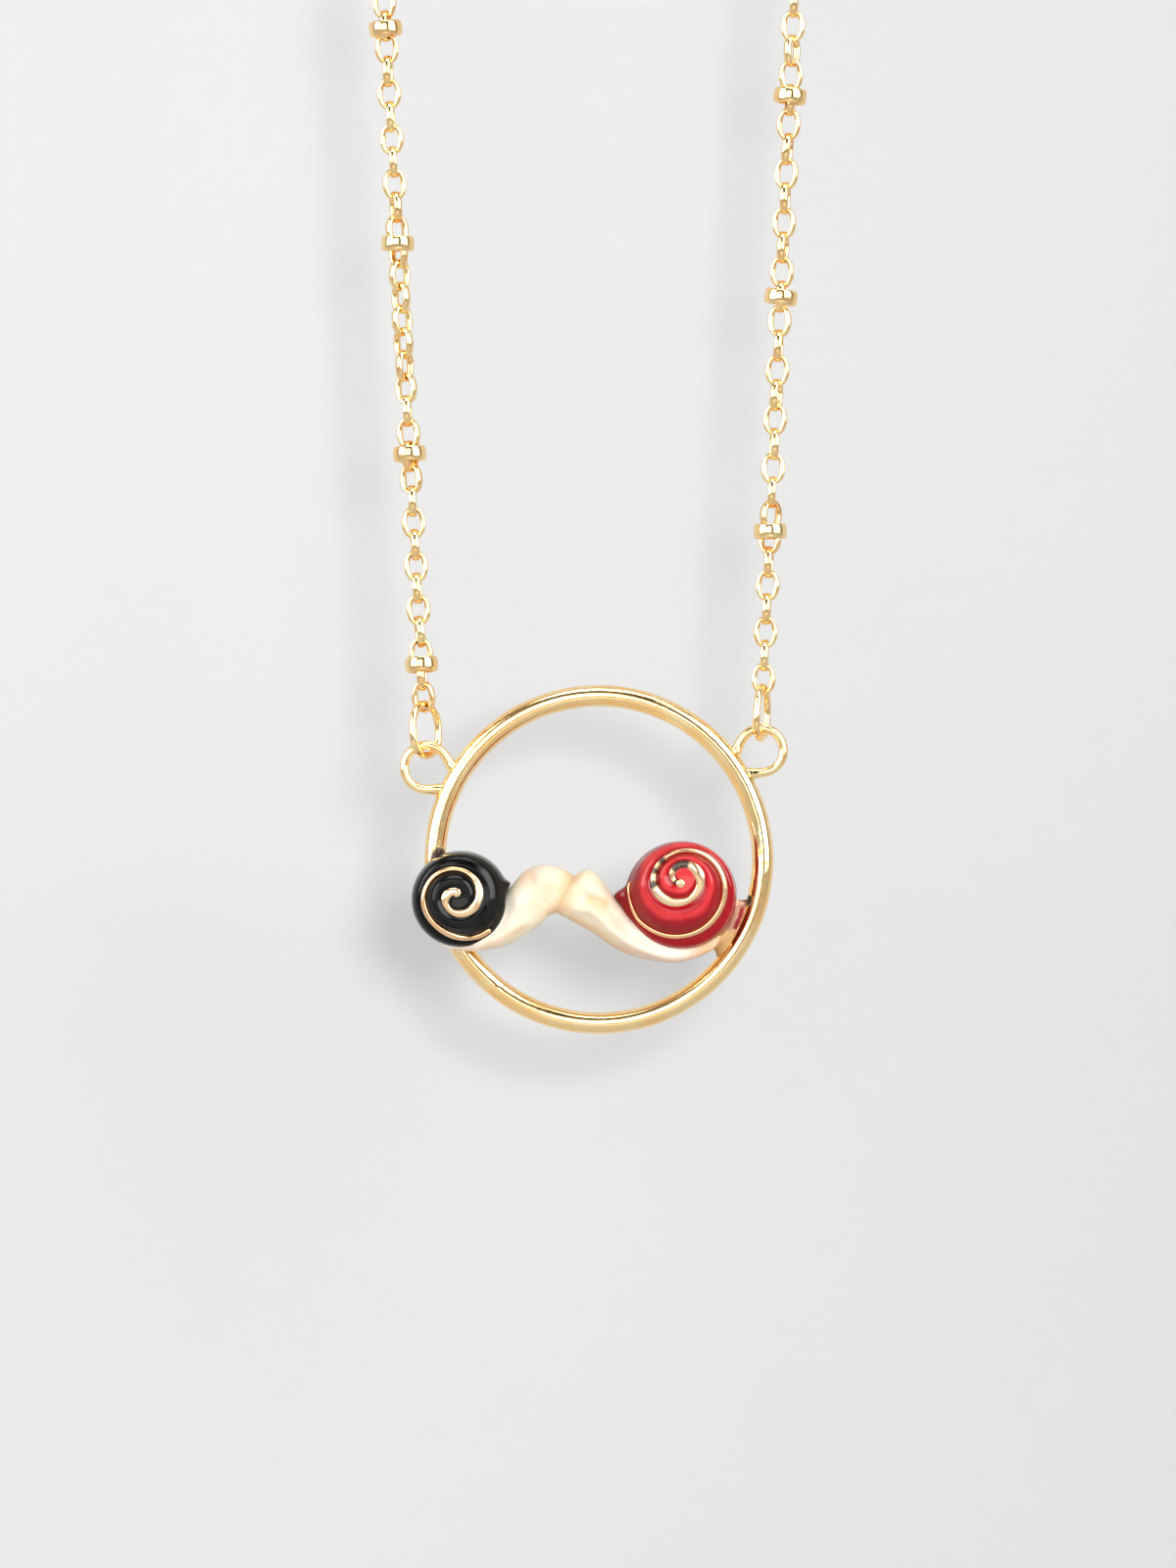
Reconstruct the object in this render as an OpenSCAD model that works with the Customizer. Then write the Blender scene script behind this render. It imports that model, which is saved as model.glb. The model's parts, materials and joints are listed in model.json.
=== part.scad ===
// Snail necklace: a wire hoop with two enamelled snails, hung from a fine satellite chain.
// Millimetres, seen from the front as it hangs: X is to the viewer's right, Y away from the viewer, Z up.
// The origin is the highest point inside the neck loop, where the necklace hangs.

/* [Neck loop] */
// Radius of the round top of the loop, to the middle of the chain
neck_r = 22.5; // [21:0.5:26]
// Outward lean of the left leg of the chain, in degrees
lean_left = 3.25; // [2.5:0.05:4]
// Outward lean of the right leg of the chain, in degrees
lean_right = 2.6; // [2:0.05:3.5]

/* [Chain] */
// Width over the links of the chain
chain_d = 2; // [1.6:0.1:2]
// Widest diameter of a satellite bead
bead_d = 2.9; // [2.7:0.1:3.2]
// Height of a satellite bead along the chain
bead_h = 1.3; // [1.1:0.1:1.5]
// Distance between beads on the stretch that goes round the neck
bead_pitch = 18.2; // [17:0.1:20]

/* [End links] */
// Height of an end link over its wire
link_h = 5.1; // [4.8:0.1:5.6]
// Width of an end link over its wire
link_w = 4.4; // [4.2:0.1:4.7]
// Diameter of the wire of an end link
link_wire_d = 0.65; // [0.5:0.05:0.7]
// Turn of the left end link away from the plane of the hoop, in degrees
link_turn_left = 57; // [55:1:80]
// Turn of the right end link away from the plane of the hoop, in degrees
link_turn_right = 77; // [55:1:80]

/* [Hoop] */
// Outside diameter of the hoop
hoop_d = 30; // [29:0.5:31]
// Diameter of the hoop's round wire
hoop_wire_d = 1.85; // [1.7:0.05:2]
// Diameter of an eyelet, to the middle of its wire
eyelet_d = 3.8; // [3.6:0.1:4]
// Diameter of the wire of an eyelet
eyelet_wire_d = 0.8; // [0.7:0.05:0.8]
// Distance from the middle of the hoop to the middle of an eyelet
eyelet_reach = 16.82; // [16.7:0.01:16.9]
// Angle of each eyelet from the top of the hoop, in degrees
eyelet_spread = 59; // [55:1:63]
// Tilt of the hanging hoop, its left side down, in degrees
hang_tilt = 2.9; // [0:0.1:4]

/* [Snails] */
// Radius of the black shell
black_r = 4.2; // [4:0.1:4.4]
// Height of the black shell in front of its widest line
black_rise = 2.9; // [2.4:0.1:3.4]
// Radius of the red shell
red_r = 4.8; // [4.6:0.1:5]
// Height of the red shell in front of its widest line
red_rise = 3.5; // [3:0.1:4]
// Diameter of the gold line on a shell
spiral_d = 0.44; // [0.3:0.02:0.5]
// Thickness of the metal back of the snails
back_t = 1.1; // [0.9:0.1:1.3]

/* [Clasp] */
// Outside diameter of the clasp's ring
clasp_d = 6; // [5.5:0.1:6.5]
// Diameter of the clasp's wire
clasp_wire_d = 1.2; // [1:0.1:1.4]

/* [Hidden] */
$fn = 48;
gold = [0.86, 0.66, 0.34];
ivory = [0.96, 0.89, 0.75];
black = [0.08, 0.08, 0.09];
red = [0.75, 0.07, 0.1];
// Clearance between pieces that only touch on the real necklace
seat_gap = 0.05;
// Clearance between two links that hang in each other
link_play = 0.15;

// Pairs of numbers are [x, z] in the plane of the hoop, measured from the middle of the hoop.
hoop_mid_r = (hoop_d - hoop_wire_d) / 2;
eyelet_r = eyelet_d / 2;
// Half of the opening that an eyelet leaves on the hoop's side, in degrees
eyelet_mouth = 40;
eyelet_angles = [90 + eyelet_spread + hang_tilt, 90 - eyelet_spread + hang_tilt];
function polar(r, a) = [r * cos(a), r * sin(a)];
// The top of each eyelet, where its end link carries it and where the hoop swings
pivots = [for (a = eyelet_angles) polar(eyelet_reach, a) + [0, eyelet_r]];

// Each leg goes up from its pivot. inward points from a leg to the inside of the loop.
leans = [lean_left, lean_right];
upward = [[-sin(lean_left), cos(lean_left)], [sin(lean_right), cos(lean_right)]];
inward = [[cos(lean_left), sin(lean_left)], [-cos(lean_right), sin(lean_right)]];
span = pivots[1] + neck_r * inward[1] - pivots[0] - neck_r * inward[0];
legs = [cross(span, upward[1]) / cross(upward[0], upward[1]),
    cross(span, upward[0]) / cross(upward[0], upward[1])];
arch_mid = pivots[0] + legs[0] * upward[0] + neck_r * inward[0];
// Where the middle of the hoop is below the origin
hoop_at = [-arch_mid[0], -(neck_r - chain_d / 2) - arch_mid[1]];

// The end links hang their own wire just under the wire of the eyelets.
link_drop = (eyelet_wire_d + link_wire_d) / 2 + link_play;
link_end_r = (link_w - link_wire_d) / 2;
link_side = link_h - link_w;

// The chain's route, by its distance d from the pivot of one side
chain_start = link_h - link_wire_d / 2 - link_drop + 2 * seat_gap;
function arc_angle(side, d) = (d - legs[side]) / neck_r * 180 / PI;
function arch_angle(side, d) = side == 0
    ? 180 + lean_left - arc_angle(side, d)
    : arc_angle(side, d) - lean_right;
function route(side, d) = d < legs[side]
    ? pivots[side] + d * upward[side]
    : arch_mid + polar(neck_r, arch_angle(side, d));
// The direction across the chain, in the plane of the hoop
function across(side, d) = d < legs[side] ? -inward[side] : polar(1, arch_angle(side, d));

// The clasp lies flat on the neck: a ring between two eyes.
clasp_r = (clasp_d - clasp_wire_d) / 2;
clasp_eye_r = 1;
clasp_eye_wire_d = 0.7;
clasp_eye_at = clasp_r + clasp_wire_d / 2 + clasp_eye_r;
clasp_half = clasp_eye_at + clasp_eye_r + clasp_eye_wire_d / 2;
chain_ends = [for (side = [0, 1])
    legs[side] + neck_r * (90 + leans[side]) * PI / 180 - clasp_half - 3 * seat_gap];

// Where the beads are on each side, from the pivot up. Past the listed ones they are evenly spaced.
bead_starts = [[6.95, 25.1, 43.2, 61.7], [16.95, 37.1, 54.4]];
bead_end_gap = 9;
function last(list) = list[len(list) - 1];
function beads_at(side) = concat(bead_starts[side],
    [for (d = last(bead_starts[side]) + bead_pitch;
        d < chain_ends[side] - bead_end_gap; d = d + bead_pitch) d]);

// The tube has three rings for each bead, and no ring falls inside a bead on the arch.
ring_step = bead_pitch / 3;
first_ring = 0.35 * ring_step;
function ring_phase(side) = last(bead_starts[side]) + ring_step / 2;
function ring_places(side) =
    let (low = ceil((chain_start + first_ring - ring_phase(side)) / ring_step),
        high = floor((chain_ends[side] - first_ring - ring_phase(side)) / ring_step))
    concat([chain_start],
        [for (i = [low:high]) ring_phase(side) + i * ring_step],
        [chain_ends[side]]);

// Both shells and both bodies stand on one flat plane, just in front of the hoop's wire.
back_front = -1;
stand_y = back_front - seat_gap;
// A shell pulls in behind its widest line by this angle, over this depth.
tuck_angle = 35;
tuck_depth = 0.7;
widest_y = stand_y - tuck_depth;

// One row for each shell. Its circles run from the apex out to the rim, and their middle moves with them.
shell_apex = 0;
shell_rim = 1;
shell_r = 2;
shell_rise = 3;
// The gold line starts at line_r0 and angle line_a0, and winds outwards to line_r1 in line_turns.
line_r0 = 4;
line_r1 = 5;
line_growth = 6;
line_a0 = 7;
line_turns = 8;
// 1 for a line that winds outwards counter-clockwise, -1 for clockwise
line_sense = 9;
black_shell = [[-12.28, -3.1], [-11.88, -3.37], black_r, black_rise, 0.37, 3.78, 1.15, 66, 1.68, 1];
red_shell = [[7.12, -0.6], [7.05, -3.06], red_r, red_rise, 0.8, 4.6, 1.38, -103, 2.25, -1];

// Below 1, a dome is fuller than a half ball.
shell_dome = 0.9;
body_dome = 0.8;
// How far a whorl stands out between two turns of the gold line
whorl_bulge = 0.12;
function shell_point(s, r, a) =
    s[shell_apex] + (s[shell_rim] - s[shell_apex]) * r / s[shell_r] + polar(r, a);
// How many turns the gold line has made by the time that it is r from the middle
function turns_at(s, r) = s[line_turns]
    * pow(max(0, r - s[line_r0]) / (s[line_r1] - s[line_r0]), 1 / s[line_growth]);
function between_lines(s, r, a) =
    let (turn = turns_at(s, r) - s[line_sense] * (a - s[line_a0]) / 360) turn - floor(turn);
// tip goes from 0 at the apex through 90 at the widest line to the back of the shell.
function shell_y(s, tip, a) = tip > 90
    ? widest_y - tuck_depth * cos(tip) / sin(tuck_angle)
    : widest_y - s[shell_rise] * pow(cos(tip), shell_dome)
        - whorl_bulge * cos(tip) * sin(180 * between_lines(s, s[shell_r] * sin(tip), a));

// A point on the front of a shell, and the direction straight out of the shell there
function on_shell(s, r, a) =
    let (p = shell_point(s, r, a)) [p[0], shell_y(s, asin(r / s[shell_r]), a), p[1]];
function out_of_shell(s, r, a) =
    let (step = 0.02, n = cross(on_shell(s, r + step, a) - on_shell(s, r, a),
        on_shell(s, r, a + 1) - on_shell(s, r, a))) n / norm(n);

shell_sides = 40;
shell_tips = [4, 11, 18, 25, 32, 39, 46, 53, 60, 67, 74, 81, 86, 90, 102, 114, 90 + tuck_angle];

// The gold line is a wire of six sides, held this far off the shell.
spiral_steps = 70;
spiral_sides = 6;
line_lift = 0.17;

// The rows of a body go from its tail to its head. Each is a line across the body: the middle of
// the line, half its width, how far the body stands out there and the angle of the line.
body_x = 0;
body_z = 1;
body_half = 2;
body_rise = 3;
body_turn = 4;
left_rows = [
    [-13.7, -6.75, 0.4, 0.7, 60],
    [-12.7, -6.9, 0.75, 1.2, 77],
    [-11, -6.8, 1.05, 1.6, 90],
    [-9.2, -6.05, 1.6, 2.1, 97],
    [-7.85, -5.15, 2, 2.5, 103],
    [-6.7, -4.2, 2.15, 2.8, 111],
    [-5.6, -3.2, 2.2, 2.8, 113],
    [-4.75, -2.72, 2.2, 2.7, 95],
    [-3.8, -2.72, 1.95, 2.5, 77],
    [-2.99, -2.93, 1.75, 2.2, 63]];
right_rows = [
    [10.4, -6.6, 0.4, 0.8, 290],
    [9.2, -7.2, 0.8, 1.2, 285],
    [7, -7.7, 1.1, 1.7, 270],
    [4.8, -7.4, 1.3, 2, 256],
    [2.9, -6.7, 1.5, 2.3, 252],
    [1.4, -5.6, 1.75, 2.6, 250],
    [0.25, -4.5, 1.9, 2.8, 249],
    [-0.8, -3.7, 2.15, 2.8, 247],
    [-1.98, -2.95, 2.2, 2.6, 245],
    [-2.91, -2.97, 1.75, 2.2, 243]];
// The metal backs run together where the heads meet.
kiss_at = [-2.95, -2.95];
kiss_back_r = 1.2;
body_sides = 10;
smooth_steps = 3;
// The metal back stops this far inside the outline of the enamel.
back_inset = 0.35;

// The web of solder between the red snail and the hoop
web = [[9.6, -2.6], [12.9, -2.9], [12.6, -5], [11.5, -7.3], [9.3, -7]];
web_y = [-0.9, 0.5];

function smooth_point(rows, i, t) =
    let (a = rows[max(0, i - 1)], b = rows[i], c = rows[i + 1], d = rows[min(len(rows) - 1, i + 2)])
    0.5 * (2 * b + (c - a) * t + (2 * a - 5 * b + 4 * c - d) * t * t
        + (3 * b - a - 3 * c + d) * t * t * t);
function smooth(rows) = concat(
    [for (i = [0:len(rows) - 2], k = [0:smooth_steps - 1]) smooth_point(rows, i, k / smooth_steps)],
    [last(rows)]);

// The point at u across a body's row, out from the middle of its line
function row_point(row, u) = [row[body_x], row[body_z]] + polar(u, row[body_turn]);

// Skins a list of rings that all have the same number of points. The rings turn clockwise
// when seen along the list.
module skin(rings) {
    n = len(rings[0]);
    top = (len(rings) - 1) * n;
    polyhedron(
        points = [for (ring = rings) each ring],
        faces = concat(
            [[for (j = [0:n - 1]) j]],
            [for (i = [0:len(rings) - 2], j = [0:n - 1])
                let (a = i * n, k = (j + 1) % n) each [
                    [a + j, a + n + j, a + n + k],
                    [a + j, a + n + k, a + k]]],
            [[for (j = [n - 1:-1:0]) top + j]]));
}

// Stands a flat outline in the plane of the hoop, between two places along Y.
module slab(front, back) {
    translate([0, back, 0])
        rotate([90, 0, 0])
            linear_extrude(height = back - front) children();
}

module at_hoop() {
    translate([hoop_at[0], 0, hoop_at[1]]) children();
}

module wire_ring(r, wire_d) {
    rotate_extrude() translate([r, 0]) circle(d = wire_d);
}

module eyelet(a) {
    solder_d = 1.15;
    at = polar(eyelet_reach, a);
    translate([at[0], 0, at[1]]) {
        rotate([90, 180 - a - eyelet_mouth, 0])
            rotate_extrude(angle = 360 - 2 * eyelet_mouth)
                translate([eyelet_r, 0]) circle(d = eyelet_wire_d);
        for (side = [-1, 1])
            let (end = polar(eyelet_r, a + 180 + side * eyelet_mouth))
            translate([end[0], 0, end[1]]) sphere(d = solder_d);
    }
}

function back_outline(rows) = concat(
    [for (row = rows) row_point(row, max(back_inset / 2, row[body_half] - back_inset))],
    [for (i = [len(rows) - 1:-1:0])
        row_point(rows[i], -max(back_inset / 2, rows[i][body_half] - back_inset))]);

module shell_back(s) {
    translate(s[shell_rim]) circle(r = s[shell_r] * cos(tuck_angle) - back_inset);
}

module hoop() {
    color(gold) at_hoop() {
        rotate([90, 0, 0]) wire_ring(hoop_mid_r, hoop_wire_d);
        for (a = eyelet_angles) eyelet(a);
        slab(back_front, back_front + back_t) {
            shell_back(black_shell);
            shell_back(red_shell);
            polygon(back_outline(left_rows));
            polygon(back_outline(right_rows));
            translate(kiss_at) circle(r = kiss_back_r);
        }
        slab(web_y[0], web_y[1]) polygon(web);
    }
}

function body_ring(row) = [for (j = [0:body_sides - 1])
    let (a = 180 * j / (body_sides - 1), p = row_point(row, row[body_half] * cos(a)))
    [p[0], stand_y - row[body_rise] * pow(sin(a), body_dome), p[1]]];

// A body is cut away where the shell sits on it.
module body(rows, s) {
    difference() {
        skin([for (row = smooth(rows)) body_ring(row)]);
        translate([s[shell_rim][0], 0, s[shell_rim][1]])
            rotate([90, 0, 0])
                cylinder(r = s[shell_r] + 2 * seat_gap, h = hoop_d, center = true);
    }
}

module shell(s) {
    skin([for (tip = shell_tips) [for (j = [0:shell_sides - 1])
        let (a = -360 * j / shell_sides, p = shell_point(s, s[shell_r] * sin(tip), a))
        [p[0], shell_y(s, tip, a), p[1]]]]);
}

function line_r(s, t) = s[line_r0] + (s[line_r1] - s[line_r0]) * pow(t, s[line_growth]);
function line_a(s, t) = s[line_a0] + s[line_sense] * 360 * s[line_turns] * t;

// The middle of the gold line's wire, which lies on the shell in the dip between two whorls
function line_mid(s, t) = on_shell(s, line_r(s, t), line_a(s, t))
    + (spiral_d / 2 + line_lift) * out_of_shell(s, line_r(s, t), line_a(s, t));

module gold_line(s) {
    step = 0.001;
    skin([for (i = [0:spiral_steps])
        let (t = i / spiral_steps,
            out = out_of_shell(s, line_r(s, t), line_a(s, t)),
            along = line_mid(s, min(1, t + step)) - line_mid(s, max(0, t - step)),
            side = cross(along, out) / norm(cross(along, out)))
        [for (j = [0:spiral_sides - 1])
            let (w = -360 * j / spiral_sides)
            line_mid(s, t) + spiral_d / 2 * (cos(w) * side + sin(w) * out)]]);
}

module snail_left_body() {
    color(ivory) at_hoop() body(left_rows, black_shell);
}

module snail_left_shell() {
    color(black) at_hoop() shell(black_shell);
}

module snail_left_spiral() {
    color(gold) at_hoop() gold_line(black_shell);
}

module snail_right_body() {
    color(ivory) at_hoop() body(right_rows, red_shell);
}

module snail_right_shell() {
    color(red) at_hoop() shell(red_shell);
}

module snail_right_spiral() {
    color(gold) at_hoop() gold_line(red_shell);
}

// An oval link of round wire whose lowest point is under the pivot, turned about its own height
module end_link(side, turn) {
    color(gold) at_hoop()
        translate([pivots[side][0], 0, pivots[side][1]])
            rotate([0, (side == 0 ? -1 : 1) * leans[side], 0])
                rotate([90, 0, turn]) {
                    low = link_end_r - link_drop;
                    for (end = [0, 1])
                        translate([0, low + end * link_side, 0])
                            rotate([0, 0, 180 - 180 * end])
                                rotate_extrude(angle = 180)
                                    translate([link_end_r, 0]) circle(d = link_wire_d);
                    for (x = [-link_end_r, link_end_r])
                        translate([x, low, 0])
                            rotate([-90, 0, 0]) cylinder(d = link_wire_d, h = link_side);
                }
}

module end_link_left() {
    end_link(0, link_turn_left);
}

module end_link_right() {
    end_link(1, link_turn_right);
}

module chain(side) {
    tube_sides = 8;
    turn = side == 0 ? -1 : 1;
    color(gold) at_hoop()
        skin([for (d = ring_places(side))
            let (p = route(side, d), n = across(side, d))
            [for (j = [0:tube_sides - 1])
                let (w = turn * 360 * (j + 0.5) / tube_sides, u = chain_d / 2 * cos(w))
                [p[0] + u * n[0], chain_d / 2 * sin(w), p[1] + u * n[1]]]]);
}

module chain_left() {
    chain(0);
}

module chain_right() {
    chain(1);
}

module bead() {
    rim_r = bead_h / 2;
    bore_r = chain_d / 2 + seat_gap;
    rotate_extrude()
        intersection() {
            translate([bead_d / 2 - rim_r, 0]) circle(r = rim_r);
            translate([bore_r, -bead_h]) square([bead_d, 2 * bead_h]);
        }
}

module beads(side) {
    color(gold) at_hoop()
        for (d = beads_at(side))
            let (a = route(side, d - ring_step / 2), b = route(side, d + ring_step / 2),
                mid = (a + b) / 2, along = b - a)
            translate([mid[0], 0, mid[1]])
                rotate([0, atan2(along[0], along[1]), 0]) bead();
}

module beads_left() {
    beads(0);
}

module beads_right() {
    beads(1);
}

module clasp() {
    color(gold)
        translate([0, 0, chain_d / 2]) {
            wire_ring(clasp_r, clasp_wire_d);
            for (side = [-1, 1])
                translate([side * clasp_eye_at, 0, 0]) wire_ring(clasp_eye_r, clasp_eye_wire_d);
        }
}

hoop();
snail_left_body();
snail_left_shell();
snail_left_spiral();
snail_right_body();
snail_right_shell();
snail_right_spiral();
end_link_left();
end_link_right();
chain_left();
chain_right();
beads_left();
beads_right();
clasp();
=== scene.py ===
import json
import math

import bpy
import numpy as np
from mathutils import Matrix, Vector


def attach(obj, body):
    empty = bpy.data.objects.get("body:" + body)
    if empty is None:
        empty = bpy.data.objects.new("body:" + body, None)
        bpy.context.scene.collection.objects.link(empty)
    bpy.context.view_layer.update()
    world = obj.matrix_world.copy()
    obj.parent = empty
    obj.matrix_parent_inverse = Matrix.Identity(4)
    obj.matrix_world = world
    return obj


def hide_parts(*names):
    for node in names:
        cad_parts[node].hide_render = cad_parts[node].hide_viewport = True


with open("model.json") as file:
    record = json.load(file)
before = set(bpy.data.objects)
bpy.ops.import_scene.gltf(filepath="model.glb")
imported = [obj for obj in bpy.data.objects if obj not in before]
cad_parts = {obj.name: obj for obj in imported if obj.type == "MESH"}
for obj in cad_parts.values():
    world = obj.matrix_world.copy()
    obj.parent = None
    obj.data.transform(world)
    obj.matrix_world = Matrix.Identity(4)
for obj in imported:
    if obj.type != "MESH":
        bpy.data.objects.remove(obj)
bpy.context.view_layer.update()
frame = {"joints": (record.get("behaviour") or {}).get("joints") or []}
print("frame loaded")

# Sizes are in millimetres in the CAD frame: x to the right, y away from the viewer, z up.
# Places on the pendant are (x, z) pairs measured from the middle of the hoop.
mm = 0.001
rng = np.random.default_rng(11)
rightward = np.array([1.0, 0.0, 0.0])
upward = np.array([0.0, 0.0, 1.0])
faceOut = np.array([0.0, -1.0, 0.0])  # straight out of the front of the hoop

hoop = dict(outer=30.0, wire=1.85, eyelet=3.8, eyeletWire=0.8, reach=16.82, spread=59.0, tilt=2.9)
hoopR = (hoop["outer"] - hoop["wire"]) / 2
eyeletR = hoop["eyelet"] / 2
eyeletAngles = [90 + hoop["spread"] + hoop["tilt"], 90 - hoop["spread"] + hoop["tilt"]]


def polar(r, degrees):
    a = np.radians(degrees)
    return np.stack([r * np.cos(a), r * np.sin(a)], -1)


def smoothStep(t):
    t = np.clip(t, 0.0, 1.0)
    return t * t * (3 - 2 * t)


def bump(x, middle, width):
    return np.exp(-((x - middle) / width) ** 2)


def squarer(values, power):
    # a power below 1 makes a circle's cosines and sines those of a squarer form
    return np.sign(values) * np.abs(values) ** power


def wholeTurn(steps):
    return np.linspace(0, 2 * np.pi, steps, endpoint=False)


def squaredRound(angles, square):
    # cosines and sines of angles, and square above 2 makes their circle squarer
    return (squarer(c, 2 / square) for c in (np.cos(angles), np.sin(angles)))


def turnFrom(start, degrees):
    # how far round each angle is from the start, between -180 and 180
    return (degrees - start + 180) % 360 - 180


def unit(v):
    return v / np.linalg.norm(v, axis=-1, keepdims=True)


# The joint's place is the top of the left eyelet, which fixes the middle of the hoop.
swingAt = np.array(frame["joints"][0]["pos_m"]) / mm
hoopMid = swingAt[[0, 2]] - polar(hoop["reach"], eyeletAngles[0]) - [0, eyeletR]
pivots = [hoopMid + polar(hoop["reach"], a) + [0, eyeletR] for a in eyeletAngles]


# Mesh parts are (points, faces) in millimetres, and a piece joins several of them.

def skin(rings, loop=False):
    # joins rings of points into a tube that closes on itself, or has a fan over each end. The middles of
    # the two fans are its last points.
    rings = np.asarray(rings)
    rows, cols = rings.shape[:2]
    i, j = np.meshgrid(np.arange(rows if loop else rows - 1), np.arange(cols), indexing="ij")
    down, right = (i + 1) % rows, (j + 1) % cols
    quads = np.stack([i * cols + j, i * cols + right, down * cols + right, down * cols + j], -1)
    points, faces = rings.reshape(-1, 3), quads.reshape(-1, 4).tolist()
    if not loop:
        for start in (0, (rows - 1) * cols):
            middle = len(points)
            points = np.vstack([points, points[start:start + cols].mean(0)])
            for k in range(cols):
                edge = [start + (k + 1) % cols, start + k]
                faces.append([*(edge[::-1] if start else edge), middle])
    return points, faces


def sweep(path, side, out, widths, heights, sides, square=2.0, loop=False):
    # widths go along side and heights along out, and square above 2 flattens the four faces
    u, v = squaredRound(wholeTurn(sides), square)
    widths, heights = (np.broadcast_to(d, len(path))[:, None, None] / 2 for d in (widths, heights))
    side, out = (np.broadcast_to(d, path.shape)[:, None] for d in (side, out))
    return skin(path[:, None] + widths * u[None, :, None] * side + heights * v[None, :, None] * out, loop)


def revolve(profile, axisAt, axis, across, sides, loop=False):
    # profile rows are (radius, distance along the axis)
    a = wholeTurn(sides)
    third = np.cross(axis, across)
    ringDirs = np.cos(a)[:, None] * across + np.sin(a)[:, None] * third
    rings = axisAt + profile[:, :1, None] * ringDirs[None] + profile[:, 1:, None] * axis
    return skin(rings, loop)


def joined(parts):
    points, faces, count = [], [], 0
    for partPoints, partFaces in parts:
        points.append(partPoints)
        faces += [[count + k for k in face] for face in partFaces]
        count += len(partPoints)
    return np.vstack(points), faces


def inFrame(xz, y):
    # turns places on the pendant into points of the frame
    x, z = np.moveaxis(np.asarray(xz) + hoopMid, -1, 0)
    return np.stack([x, np.broadcast_to(y, x.shape), z], -1)


def placed(name, data):
    made = bpy.data.objects.new(name, data)
    bpy.context.scene.collection.objects.link(made)
    return made


def piece(name, part, body, node, material, marks=None):
    # marks are values on the points, which the material reads
    points, faces = part
    mesh = bpy.data.meshes.new(name)
    mesh.from_pydata((points * mm).tolist(), [], faces)
    for key, values in (marks or {}).items():
        mesh.attributes.new(key, "FLOAT", "POINT").data.foreach_set("value", values.astype(np.float32))
    mesh.materials.append(material)
    mesh.polygons.foreach_set("use_smooth", [True] * len(faces))
    mesh.validate()
    mesh.update()
    made = placed(name, mesh)
    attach(made, body)
    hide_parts(node)
    print(f"{name}: {len(faces)} faces")


# Finishes. A Val wraps a socket, and arithmetic on it adds Math nodes.

class Val:
    def __init__(self, finish, socket):
        self.finish = finish
        self.socket = socket

    def math(self, operation, *values):
        return self.finish.node("ShaderNodeMath", {"operation": operation}, dict(enumerate(values)))

    def __add__(self, other):
        return self.math("ADD", self, other)

    def __radd__(self, other):
        return self.math("ADD", other, self)

    def __sub__(self, other):
        return self.math("SUBTRACT", self, other)

    def __rsub__(self, other):
        return self.math("SUBTRACT", other, self)

    def __mul__(self, other):
        return self.math("MULTIPLY", self, other)

    def __rmul__(self, other):
        return self.math("MULTIPLY", other, self)


class Finish:
    def __init__(self, name, constants):
        self.material = bpy.data.materials.new(name)
        self.material.use_nodes = True
        self.tree = self.material.node_tree
        self.shader = self.tree.nodes["Principled BSDF"]
        for key, value in constants.items():
            self.shader.inputs[key].default_value = value

    def node(self, kind, settings, inputs, output=0):
        made = self.tree.nodes.new(kind)
        for key, value in settings.items():
            setattr(made, key, value)
        for key, value in inputs.items():
            self.feed(made.inputs[key], value)
        return Val(self, made.outputs[output])

    def feed(self, socket, value):
        if isinstance(value, Val):
            self.tree.links.new(value.socket, socket)
        else:
            socket.default_value = value

    def output(self, key, value):
        self.feed(self.shader.inputs[key], value)

    def place(self):
        return self.node("ShaderNodeTexCoord", {}, {}, "Object")

    def axes(self, place):
        # the x, y and z of a place
        split = self.node("ShaderNodeSeparateXYZ", {}, {0: place}).socket.node
        return [Val(self, split.outputs[axis]) for axis in "XYZ"]

    def mark(self, name):
        return self.node("ShaderNodeAttribute", {"attribute_name": name}, {}, "Fac")

    def between(self, value, low, high):
        inputs = {"Value": value, "From Min": low, "From Max": high}
        return self.node("ShaderNodeMapRange", {"interpolation_type": "SMOOTHSTEP"}, inputs)

    def noise(self, perMm, detail, roughness=0.5):
        inputs = {"Vector": self.place(), "Scale": perMm / mm, "Detail": detail, "Roughness": roughness}
        return self.node("ShaderNodeTexNoise", {}, inputs)

    def clouds(self, noise, edge):
        return self.between(self.noise(*noise), *edge)

    def ragged(self, name, noise, amount, edge):
        # a mark of the mesh with its edge made uneven
        return self.between(self.mark(name) + (self.noise(*noise) - 0.5) * amount, *edge)

    def tone(self, factor, first, second):
        first, second = (c if isinstance(c, Val) else (*c, 1.0) for c in (first, second))
        return self.node("ShaderNodeMix", {"data_type": "RGBA"}, {0: factor, 6: first, 7: second}, 2)

    def bumped(self, waves, strength, depth, grain=None, grainShare=0.0):
        height = self.noise(*waves)
        if grain:
            height = height + self.noise(*grain) * grainShare
        inputs = {"Strength": strength, "Distance": depth * mm, "Height": height}
        self.output("Normal", self.node("ShaderNodeBump", {}, inputs))


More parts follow.
